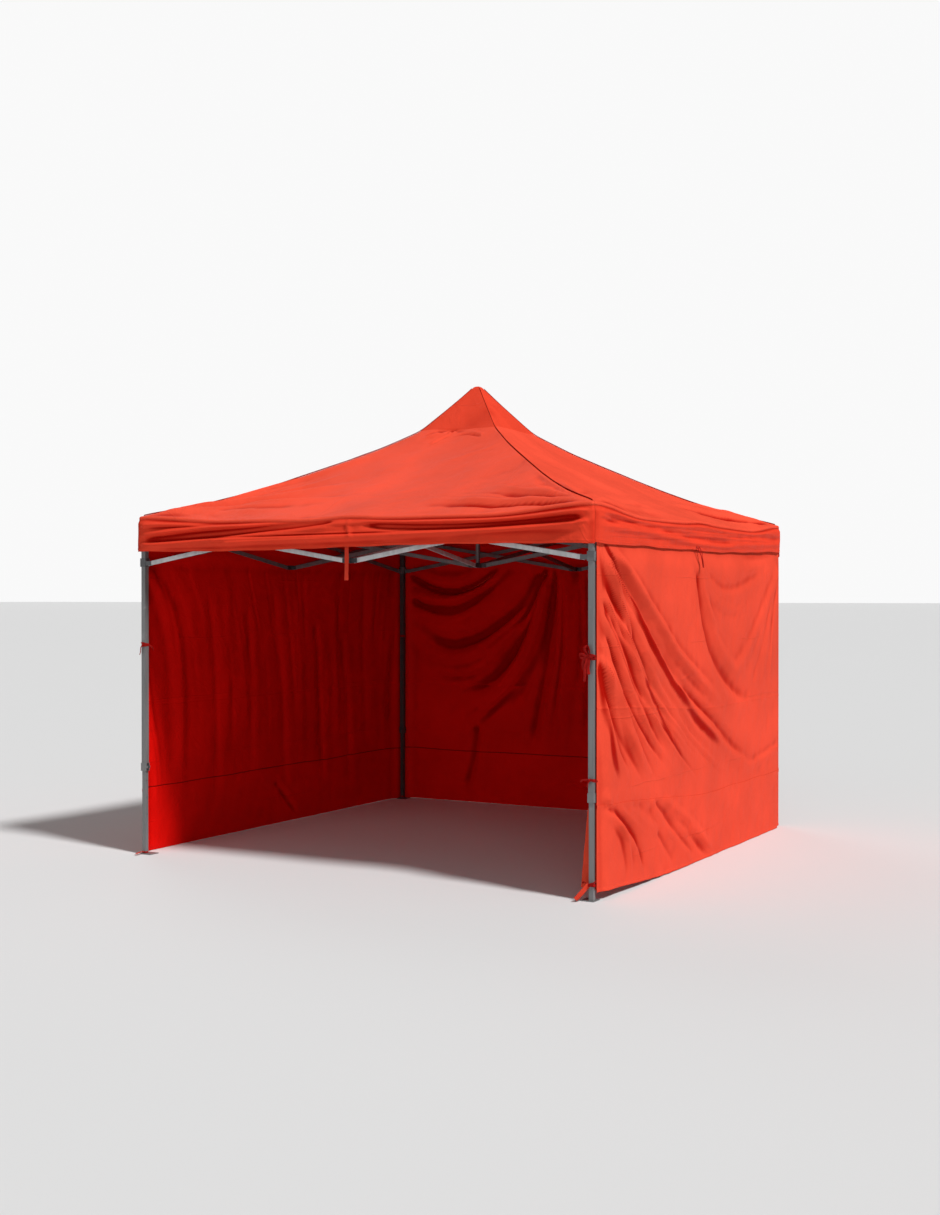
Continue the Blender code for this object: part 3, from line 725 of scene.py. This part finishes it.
WALL_FOLDS["back"] = [
    ([(0.28, 1.76), (0.46, 1.52), (0.65, 1.36), (0.9, 1.22), (1.15, 1.2), (1.47, 1.43)],
     0.026, 0.06, 1.0),
    ([(0.3, 1.78), (0.46, 1.34), (0.62, 1.06), (0.8, 0.9), (1.1, 0.8)], 0.026, 0.055, 1.2),
    ([(0.28, 1.76), (0.35, 1.36), (0.52, 0.96), (0.78, 0.7)], -0.018, 0.05, 1.2),
    ([(1.48, 1.72), (1.18, 1.6), (0.9, 1.62), (0.62, 1.8)], 0.018, 0.04, 1.0),
    ([(1.46, 1.52), (1.18, 1.45), (0.93, 1.49), (0.52, 1.78)], 0.018, 0.04, 1.0),
    ([(1.46, 1.6), (1.1, 1.52), (0.8, 1.62), (0.58, 1.78)], -0.012, 0.03, 1.0),
    ([(0.22, 1.8), (0.27, 1.19), (0.36, 0.7), (0.43, 0.35)], 0.016, 0.045, 1.2),
    ([(0.12, 1.8), (0.1, 1.3), (0.14, 0.8), (0.2, 0.3)], -0.012, 0.05, 1.2),
    ([(-0.05, 1.75), (-0.04, 1.0), (-0.01, 0.37)], 0.013, 0.05, 1.2),
    ([(-0.3, 1.8), (-0.42, 1.2), (-0.5, 0.6)], 0.013, 0.055, 1.3),
    ([(-0.6, 1.8), (-0.85, 1.25), (-1.2, 0.9), (-1.46, 0.75)], 0.016, 0.055, 1.2),
    ([(-1.46, 1.75), (-1.1, 1.45), (-0.85, 1.05), (-0.75, 0.5)], -0.014, 0.05, 1.2),
    ([(0.85, 0.6), (0.9, 0.3), (0.98, 0.05)], 0.012, 0.045, 1.2),
    ([(-0.3, 0.42), (-0.36, 0.2), (-0.34, 0.02)], 0.012, 0.04, 1.2),
    ([(-1.05, 0.4), (-1.12, 0.2), (-1.2, 0.02)], 0.012, 0.045, 1.2),
]
WALL_FOLDS["left"] = [
    ([(1.44, 1.74), (1.13, 1.38), (1.07, 0.81), (1.09, 0.1)], -0.015, 0.04, 1.1),
    ([(1.46, 1.7), (1.24, 1.3), (1.18, 0.8), (1.2, 0.2)], 0.016, 0.045, 1.2),
    ([(1.46, 1.26), (1.38, 0.88), (1.31, 0.55), (1.3, 0.15)], -0.016, 0.03, 1.2),
    ([(1.47, 1.2), (1.42, 0.8), (1.4, 0.35)], 0.013, 0.026, 1.2),
    ([(0.82, 1.6), (0.73, 1.1), (0.72, 0.58), (0.74, 0.1)], 0.013, 0.04, 1.1),
    ([(0.62, 1.7), (0.6, 1.1), (0.62, 0.4)], -0.01, 0.045, 1.1),
    ([(0.4, 1.5), (0.36, 1.0), (0.35, 0.3)], 0.013, 0.04, 1.1),
    ([(0.14, 1.7), (0.04, 1.1), (0.0, 0.7), (-0.01, 0.1)], 0.014, 0.045, 1.1),
    ([(-0.16, 1.6), (-0.22, 1.0), (-0.2, 0.3)], -0.011, 0.045, 1.1),
    ([(-0.38, 1.4), (-0.44, 0.9), (-0.46, 0.05)], 0.016, 0.036, 1.2),
    ([(-0.6, 1.6), (-0.64, 1.0), (-0.66, 0.3)], -0.012, 0.045, 1.1),
    ([(-0.72, 1.3), (-0.78, 0.8), (-0.81, 0.05)], 0.015, 0.038, 1.2),
    ([(-1.02, 1.7), (-1.02, 1.0), (-1.06, 0.2)], 0.013, 0.05, 1.1),
    ([(-1.46, 1.6), (-1.3, 1.0), (-1.28, 0.3)], -0.013, 0.045, 1.1),
    ([(0.1, 0.3), (-0.05, 0.14), (-0.18, 0.02)], 0.016, 0.026, 1.1),
]
# painted shade along the right wall's main folds: grooves that only darken its colour through the crease
# attribute and don't move the cloth: path, depth, width, spread
PAINTED_SHADE_LINES = [
    ([(-1.41, 1.85), (-1.23, 1.66), (-1.0, 1.45), (-0.77, 1.25), (-0.49, 1.03), (-0.22, 0.89)],
     -0.11, 0.024, 2.2),
    ([(-0.55, 1.09), (-0.25, 0.9), (0.1, 0.73), (0.45, 0.6)], -0.045, 0.042, 1.3),
    ([(-1.45, 1.24), (-1.4, 1.0), (-1.31, 0.72), (-1.22, 0.55)], -0.045, 0.034, 1.4),
    ([(-1.26, 1.12), (-1.07, 0.82), (-0.84, 0.56)], -0.03, 0.026, 1.4),
    ([(-1.0, 1.15), (-0.77, 0.96), (-0.56, 0.75), (-0.3, 0.59)], -0.05, 0.038, 1.3),
]
WALL_STANDS = 0.03  # how far the cloth stands out of the CAD wall's face on average, and at most
WALL_REACH = 0.094
DEPTH = {"right": 1.4, "back": 2.1, "left": 0.72}  # how deep each wall's folds are
FAN_DEPTH = 0.75
# fans by wall: seed, two guide curves, number of folds, heights, widths
WALL_FANS = {}
WALL_FANS["right"] = [
    (71, [(-1.43, 1.83), (-0.91, 1.43), (-0.37, 1.05), (0.51, 0.63), (1.09, 0.44)],
     [(-1.46, 1.3), (-1.34, 1.02), (-1.2, 0.8), (-0.98, 0.56), (-0.8, 0.34)], 28,
     (0.006, 0.014), (0.01, 0.022)),
    (72, [(-1.46, 1.8), (-1.4, 1.5), (-1.33, 1.2), (-1.2, 0.95)],
     [(-1.34, 1.82), (-1.02, 1.55), (-0.75, 1.35), (-0.5, 1.15)], 12, (0.004, 0.01), (0.009, 0.018)),
    (73, [(-0.15, 1.8), (-0.1, 1.4), (0.08, 1.15), (0.45, 0.95)],
     [(-0.05, 1.8), (0.15, 1.63), (0.5, 1.58), (1.0, 1.68)], 7, (0.002, 0.005), (0.014, 0.03)),
    (74, [(1.47, 1.82), (1.2, 1.55), (0.9, 1.25), (0.6, 1.05)],
     [(1.47, 1.82), (1.32, 1.4), (1.22, 1.0), (1.15, 0.7)], 6, (0.002, 0.005), (0.014, 0.03)),
    (75, [(-1.42, 0.5), (-1.05, 0.28), (-0.88, 0.05)],
     [(-0.55, 0.42), (-0.1, 0.2), (0.3, 0.03)], 9, (0.004, 0.011), (0.014, 0.03)),
]
WALL_FANS["back"] = [
    (76, [(0.28, 1.78), (0.46, 1.52), (0.8, 1.28), (1.15, 1.2), (1.47, 1.43)],
     [(0.25, 1.78), (0.33, 1.36), (0.48, 1.0), (0.7, 0.72), (0.95, 0.5)], 14,
     (0.006, 0.018), (0.014, 0.034)),
    (77, [(1.48, 1.75), (1.18, 1.62), (0.9, 1.64), (0.62, 1.8)],
     [(1.46, 1.5), (1.18, 1.36), (0.85, 1.42), (0.45, 1.78)], 8, (0.005, 0.014), (0.012, 0.028)),
    (78, [(0.22, 1.8), (0.25, 1.2), (0.35, 0.7), (0.42, 0.3)],
     [(-0.5, 1.8), (-0.6, 1.2), (-0.7, 0.7), (-0.75, 0.3)], 11, (0.005, 0.013), (0.014, 0.032)),
    (79, [(-0.55, 1.8), (-0.85, 1.3), (-1.2, 0.95), (-1.47, 0.8)],
     [(-0.62, 1.8), (-0.8, 1.2), (-0.9, 0.8), (-0.95, 0.3)], 9, (0.005, 0.013), (0.014, 0.032)),
]
WALL_FANS["left"] = [
    (80, [(1.44, 1.76), (1.2, 1.38), (1.1, 0.81), (1.1, 0.06)],
     [(-1.4, 1.76), (-1.3, 1.2), (-1.3, 0.6), (-1.3, 0.06)], 24, (0.003, 0.009), (0.012, 0.026)),
    (81, [(1.46, 1.3), (1.4, 0.9), (1.3, 0.55), (1.28, 0.1)],
     [(1.47, 1.1), (1.44, 0.7), (1.42, 0.4), (1.4, 0.08)], 5, (0.006, 0.014), (0.01, 0.02)),
]


def wall_levels(k, side, s):
    """(hem, lower seam, middle crease) heights along a wall: the right one is pulled up at the front."""
    pulled = 1.0 if side == "right" else 0.0
    pull = pulled * smooth(0.2, -1.5, s)
    wave = 0.006 * ripple(300 + k, s, 0 * s, (0.35, 0.9), 6)
    lift = pulled * smooth(-0.5, -1.5, s)
    hem = 0.0008 + 0.15 * np.abs(wave) + 0.008 * pull + 0.036 * lift
    return hem, 0.385 + 0.1 * pull + 0.5 * wave, 0.885 + 0.09 * pull + 0.6 * wave


def make_wall(k, side):
    # at the front legs the cloth starts half way along their sides and leaves their fronts in sight
    ends = {"right": (-1.468, 1.4928), "left": (-1.4928, 1.468), "back": (-1.4902, 1.4902)}[side]
    s0 = np.linspace(*ends, 381)
    hem, seam, crease = wall_levels(k, side, s0)
    share = np.linspace(0, 1, 96)[1:-1]
    low = hem[None] + (seam - 0.008 - hem)[None] * share[::2, None]
    mid = seam[None] + 0.008 + (crease - seam - 0.008)[None] * share[::2, None]
    high = crease[None] + (WALL_TOP - crease)[None] * share[:, None]
    hem_rows = (0, 0.003, 0.012, 0.0165, 0.018, 0.0205)
    seam_rows = (-0.01, -0.0065, -0.003, -0.0008, 0.0008, 0.003, 0.0065)
    z = np.concatenate(
        [
            *[hem[None] + o for o in hem_rows],
            low[3:-1],
            *[seam[None] + o for o in seam_rows],
            mid[1:],
            *[crease[None] + o for o in (-0.0035, 0, 0.0035)],
            high,
            np.full((1, len(s0)), WALL_TOP),
        ]
    )
    s = np.repeat(s0[None], len(z), axis=0)
    out = folds(s, z, WALL_FOLDS[side], DEPTH[side], 0.55, (0.1, 0.3))
    for guides in WALL_FANS[side]:
        out += folds(s, z, fan(*guides), FAN_DEPTH * DEPTH[side], 0.6, (0.15, 0.35))
    out += 0.0028 * ripple(400 + k, s, z * 0.6, (0.28, 0.7))
    out += 0.0011 * ripple(430 + k, s, z * 0.7, (0.08, 0.18), 12)
    billow = 0.01 * np.cos(np.pi * s / 3.1) * np.sin(np.pi * np.clip(z / 1.95, 0, 1)) ** 0.8
    out = out + billow + WALL_STANDS
    edge = smooth(1.485, 1.36, np.abs(s)) * smooth(0.0, 0.09, s - s0[0]) * smooth(0.0, 0.09, s0[-1] - s)
    under = 1 - smooth(1.7, 1.845, z)
    out = out * (0.06 + 0.94 * edge) * (0.1 + 0.9 * under)
    out = 0.004 * np.logaddexp(0, out / 0.004)
    out = WALL_REACH - 0.006 * np.logaddexp(0, (WALL_REACH - out) / 0.006)
    out = np.maximum(out, 0.0)
    # the cloth's own folds plus the painted shade lines, read only for the painted shade in the hollows
    painted_shade_relief = out + folds(s, z, PAINTED_SHADE_LINES if side == "right" else [], 1.0, 0.0, (0.15, 0.4))
    hem_band = 0.0016 * (1 - smooth(0.0155, 0.018, z - hem[None]))
    line = z - seam[None]
    seam_step = 0.0018 * smooth(0.001, -0.001, line) * smooth(-0.0125, -0.0095, line)
    pucker = 0.001 * np.sin(s * 2 * np.pi / 0.023 + 2 * np.sin(9 * s)) * np.exp(-((line / 0.012) ** 2))
    fold_line = 0.002 * np.exp(-(((z - crease[None]) / 0.0028) ** 2))
    d = WALL_FACE - 0.004 + out + hem_band + seam_step + pucker + fold_line
    points = on_side(k, s, d, z)
    uv = np.stack([s, z], axis=-1)
    made = sheet_mesh("wall_cloth_" + side, points, uv, relief=(painted_shade_relief, 8, 0.009))
    dress(made, wall_cloth, painted_shade_inner_cloth, seam_line, inner_seam)
    cols = len(s0) - 1
    quads = cols * (len(z) - 1)
    seam_row = len(hem_rows) + len(low) - 4 + 3
    for first, material, spare in ((0, 2, 0), (quads, 3, 1)):
        rows = slice(first + (seam_row - spare) * cols, first + (seam_row + spare + 1) * cols)
        for face in made.data.polygons[rows]:
            face.material_index = material
    return made


def make_flap():
    """The right wall's lower front corner, turned in behind the leg."""
    u = np.linspace(0, 1, 16)[None]
    v = np.linspace(0, 1, 60)[:, None]
    z = 0.052 + 0.415 * v + 0.01 * u * (1 - v)
    width = 0.094 - 0.038 * v
    x = 1.4915 - u * width
    y = -1.4475 + 0.0022 * ripple(640, x, z * 0.3, (0.03, 0.08), 6) * (1 - v) + 0.003 * (1 - u)
    points = np.stack(np.broadcast_arrays(x, y, z), axis=-1)
    uv = np.stack([points[..., 0], points[..., 2]], axis=-1)
    made = sheet_mesh("wall_flap_right", points, uv, flip=True)
    dress(made, wall_cloth, painted_shade_inner_cloth)
    return made


for k, side in enumerate(SIDES):
    if side == "front":
        continue
    wall = make_wall(k, side)
    turned_in = [make_flap()] if side == "right" else []
    for flap in turned_in:
        ride_side(flap, k, side, "mid_high_" + side)
    ride_side(wall, k, side, "mid_high_" + side)
    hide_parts("wall_" + side)


# Ties, bows and straps


def tie(name, body, made, material=tie_cloth):
    dress(made, material, material)
    made.name = name
    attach(made, body)


def wrap(x, y, half, z, tall, seed, gap=0.0012, lean=0.0):
    """A tie wound once round a square leg, a little crumpled, its ends lapped."""
    r = 0.005
    reach = half + gap
    loop = []
    for cx, cy, start in ((1, -1, -90), (1, 1, 0), (-1, 1, 90), (-1, -1, 180)):
        for angle in np.linspace(start, start + 90, 6):
            a = math.radians(angle)
            loop.append((x + cx * (reach - r) + r * math.cos(a), y + cy * (reach - r) + r * math.sin(a), z))
    loop = loop + loop[:4]
    path = np.array(loop)
    fine = np.linspace(0, len(path) - 1, 110)
    path = np.stack([np.interp(fine, np.arange(len(path)), path[:, c]) for c in range(3)], axis=1)
    away = path - [x, y, z]
    away[:, 2] = 0
    away = unit(away)
    run = np.linspace(0, 1, len(path))
    bulge = 0.0008 * np.abs(ripple(seed, run, 0 * run, (0.1, 0.3), 5)) + 0.0014 * smooth(0.84, 0.9, run)
    path += away * bulge[:, None]
    path[:, 2] += 0.0012 * ripple(seed + 1, run, 0 * run, (0.3, 0.8), 4)
    path[:, 2] += lean * (path[:, 0] - x + path[:, 1] - y)
    rows = np.linspace(-0.5, 0.5, 7)
    crumple = 0.0007 * np.cos(rows * np.pi * 3)
    points = path[:, None, :] + UP * (rows * tall)[None, :, None]
    points = points + away[:, None, :] * crumple[None, :, None]
    points[:, 1:-1, 2] += 0.0006 * ripple(seed + 2, run[:, None], rows[None, 1:-1], (0.15, 0.5), 5)
    return sheet_mesh("wrap", points, thickness=0.0009, flip=True)


def strip(points, width, across, seed, thickness, curl=0.0):
    """A strap along a smooth curve, a little cupped and rippled."""
    path = spline(points, 44)
    step = unit(np.gradient(path, axis=0))
    across = np.broadcast_to(np.array(across, float), path.shape)
    across = unit(across - step * (across * step).sum(axis=1, keepdims=True))
    up = np.cross(step, across)
    run = np.linspace(0, 1, len(path))
    angle = curl * run + 0.1 * ripple(seed, run, 0 * run, (0.4, 1.2), 4)
    wide = across * np.cos(angle)[:, None] + up * np.sin(angle)[:, None]
    over = np.cross(step, wide)
    rows = np.linspace(-0.5, 0.5, 7)
    cup = 0.1 * width * (0.25 - rows**2)
    points = path[:, None, :] + wide[:, None, :] * (rows * width)[None, :, None]
    points = points + over[:, None, :] * cup[None, :, None]
    return sheet_mesh("strip", points, thickness=thickness)


def from_point(base, shape):
    """Points given in millimetres from a base point, as points in metres."""
    return np.array(base) + 0.001 * np.array(shape, float)


def loops_and_tails(name, body, knot, width, parts):
    """A knot with its loops and ends: each part is its points from the knot, its across and its curl."""
    for i, (shape, across, curl) in enumerate(parts):
        made = strip(from_point(knot, shape), width, across, 500 + i, 0.001, curl)
        tie(f"{name}_{i + 1}", body, made)
    tie(name + "_knot", body, wrap(*knot[:2], 0.0045, knot[2], 0.013, 520, 0.0005))


FRONT = -LEG - OUTER_HALF  # the front legs' front faces
UPRIGHT = (0.1, -0.5, 1)  # the width of a strap that runs sideways stands nearly upright
right_leg = "outer_leg_front_right"
tie("bow_band", right_leg, wrap(LEG, -LEG, OUTER_HALF, 1.232, 0.013, 530, lean=0.12))
tie("bow_band_upper", right_leg, wrap(LEG, -LEG, OUTER_HALF + 0.0015, 1.243, 0.013, 534, lean=-0.18))
loops_and_tails("bow", right_leg, (LEG - 0.006, FRONT - 0.0085, 1.236), 0.016, [
    ([(0, 0, 0), (-12, -12, 22), (-20, -14, 46), (-6, -8, 60), (2, -2, 34), (0, -3, 4)],
     (1, -0.5, 0.1), 0.3),
    ([(0, 0, 0), (-18, -12, 10), (-40, -12, 16), (-43, -4, 0), (-20, -2, -6), (0, -3, 0)],
     (0.1, -0.6, 1), -0.3),
    ([(0, 0, 0), (14, -10, 6), (30, -8, 6), (30, -2, -6), (14, -1, -6), (0, -3, 0)], (0.1, -0.6, 1), 0.2),
    ([(0, -3, 0), (-10, -9, -22), (-20, -7, -54), (-18, -10, -88), (-24, -8, -122)], (1, 0.3, 0.2), 0.6),
    ([(0, -3, 0), (3, -10, -24), (-2, -8, -56), (2, -10, -86)], (1, -0.3, 0), -0.5),
    ([(-4, 0, 0), (-24, 0, -4), (-36, 4, -30), (-33, 4, -62)], (0.8, 0.5, 0), 0.4),
])
tie("middle_tie_band", right_leg, wrap(LEG, -LEG, OUTER_HALF, 0.6145, 0.01, 540))
loops_and_tails("middle_tie", right_leg, (LEG - 0.004, FRONT - 0.0075, 0.6145), 0.01, [
    ([(0, 0, 0), (-14, -6, 2), (-34, -8, 1), (-50, -5, -10)], UPRIGHT, 0.4),
    ([(0, 0, 0), (14, -7, 1), (32, -10, -3), (50, -10, 0)], UPRIGHT, -0.5),
    ([(0, 0, 0), (-6, -8, -16), (-12, -8, -36)], (1, -0.2, 0), 0.3),
])
right_foot = "inner_leg_front_right"
tie("foot_tie_band", right_foot, wrap(LEG, -LEG, INNER_HALF, 0.0855, 0.012, 550, 0.0042, 0.05))
tie("foot_tie_band_lower", right_foot,
    wrap(LEG, -LEG, INNER_HALF + 0.0015, 0.0805, 0.01, 554, 0.0045, -0.05))
loops_and_tails("foot_tie", right_foot, (LEG - 0.006, -LEG - 0.0235, 0.084), 0.01, [
    ([(0, 0, 0), (14, -6, 10), (30, -8, 16), (40, -4, 30)], UPRIGHT, 0.4),
    ([(0, 0, 0), (-14, -4, 8), (-30, 4, 14), (-40, 10, 4)], UPRIGHT, -0.5),
])
strap_route = from_point((LEG, -LEG, 0), [(-8, -20.5, 88), (-20, -30, 72), (-42, -46, 42), (-66, -60, 13)])
tie("foot_strap", right_foot, strip(strap_route, 0.026, (1, 0.9, 0.2), 560, 0.0016), material=strap_cloth)

left_leg = "outer_leg_front_left"
tie("left_tie_band", left_leg, wrap(-LEG, -LEG, OUTER_HALF, 1.252, 0.014, 570, lean=0.12))
tie("left_tie_band_upper", left_leg, wrap(-LEG, -LEG, OUTER_HALF + 0.0015, 1.262, 0.009, 574, lean=-0.15))
loops_and_tails("left_tie", left_leg, (-LEG + 0.004, FRONT - 0.0075, 1.256), 0.01, [
    ([(0, 0, 0), (18, -4, 4), (32, 10, 0), (44, 30, -14), (50, 40, -34)], (0.1, -0.4, 1), 0.5),
    ([(0, 0, 0), (-12, -6, -16), (-16, -4, -40), (-21, -6, -60)], (1, -0.2, 0), 0.3),
])
left_foot = "inner_leg_front_left"
tie("left_foot_tie_band", left_foot, wrap(-LEG, -LEG, INNER_HALF, 0.0122, 0.009, 580, lean=0.02))
strap_route = from_point(
    (-LEG, -LEG, 0), [(-4, -16.5, 15.5), (-10, -30, 14.5), (-12, -52, 11), (-6, -74, 8.5)])
tie("left_foot_strap", left_foot, strip(strap_route, 0.022, (1, 0.1, 0.2), 581, 0.0016),
    material=strap_cloth)
for corner, cx in (("back_left", -1), ("back_right", 1)):
    tie(corner + "_upper_tie", "outer_leg_" + corner, wrap(cx * LEG, LEG, OUTER_HALF, 1.245, 0.013, 590))
    tie(corner + "_foot_tie", "inner_leg_" + corner, wrap(cx * LEG, LEG, INNER_HALF, 0.0122, 0.009, 594))

front_route = [(0.002, -1.4965, 1.905), (0, -1.4975, 1.84), (0.002, -1.5, 1.76), (-0.001, -1.498, 1.69),
               (0.001, -1.503, 1.633)]
tie("front_strap", "mid_high_front", strip(front_route, 0.028, (1, 0, 0), 600, 0.0016, 0.1),
    strap_cloth)
tie("wall_loop_1", "mid_high_right", strip(
    [(1.512, -0.112, 1.842), (1.534, -0.108, 1.8), (1.545, -0.1, 1.762), (1.551, -0.094, 1.712)],
    0.011, (0, 1, 0), 604, 0.001, 0.3))
tie("wall_loop_2", "mid_high_right", strip(
    [(1.512, -0.07, 1.842), (1.536, -0.082, 1.802), (1.547, -0.094, 1.765), (1.553, -0.1, 1.722)],
    0.01, (0, 1, 0.2), 606, 0.001, -0.3))


# Camera, floor and light

target = Vector((-0.0576, 0.0, 1.4759))
azimuth = math.radians(29.156)
elevation = math.radians(0.339)
distance = 9.726
level = math.cos(elevation)
direction = Vector((math.sin(azimuth) * level, -math.cos(azimuth) * level, math.sin(elevation)))
camera_data = bpy.data.cameras.new("camera")
camera_data.sensor_width = 36.0
camera_data.lens = 45.0904
camera_data.clip_end = 2000
camera = place("camera", camera_data)
camera.location = target + direction * distance
camera.rotation_euler = (-direction).to_track_quat("-Z", "Y").to_euler()
bpy.context.scene.camera = camera

FLOOR_HALF = 500.0
FLOOR_DROP = 0.0005  # just under the feet, so that their faces don't coincide
floor_mesh = bpy.data.meshes.new("floor")
floor_corners = [(cx * FLOOR_HALF, cy * FLOOR_HALF, 0) for cx, cy in ((-1, -1), (1, -1), (1, 1), (-1, 1))]
floor_mesh.from_pydata(floor_corners, [], [(0, 1, 2, 3)])
floor = place("floor", floor_mesh)
floor.location.z = -FLOOR_DROP
pale = Nodes("pale_floor")
soft = pale.add("TexNoise", {"Scale": 0.8, "Detail": 3.0}).outputs[0]
pale.coat(pale.mix(pale.ramp(soft, 0.3, 0.7), (0.73, 0.73, 0.73, 1), (0.76, 0.76, 0.76, 1)), 0.9)
dress(floor, pale.material)

world = bpy.data.worlds.new("studio")
bpy.context.scene.world = world
world.use_nodes = True
background = world.node_tree.nodes["Background"]
background.inputs["Color"].default_value = (1.0, 1.0, 1.0, 1)
background.inputs["Strength"].default_value = 0.95
world.cycles_visibility.diffuse = False
world.cycles_visibility.glossy = False


def sun(name, from_direction, strength, spread):
    data = bpy.data.lights.new(name, "SUN")
    data.energy = strength
    data.angle = math.radians(spread)
    place(name, data).rotation_euler = Vector(from_direction).to_track_quat("Z", "Y").to_euler()


sun("key", (0.62, -0.15, 0.76), 3.1, 8)
sun("rim", (-0.62, 0.50, 0.60), 0.26, 25)
sun("sky", (0.1, -0.5, 1.0), 0.55, 150)
sun("front", (0.25, -1.0, 0.30), 0.42, 60)

bpy.context.scene.view_settings.view_transform = "Standard"
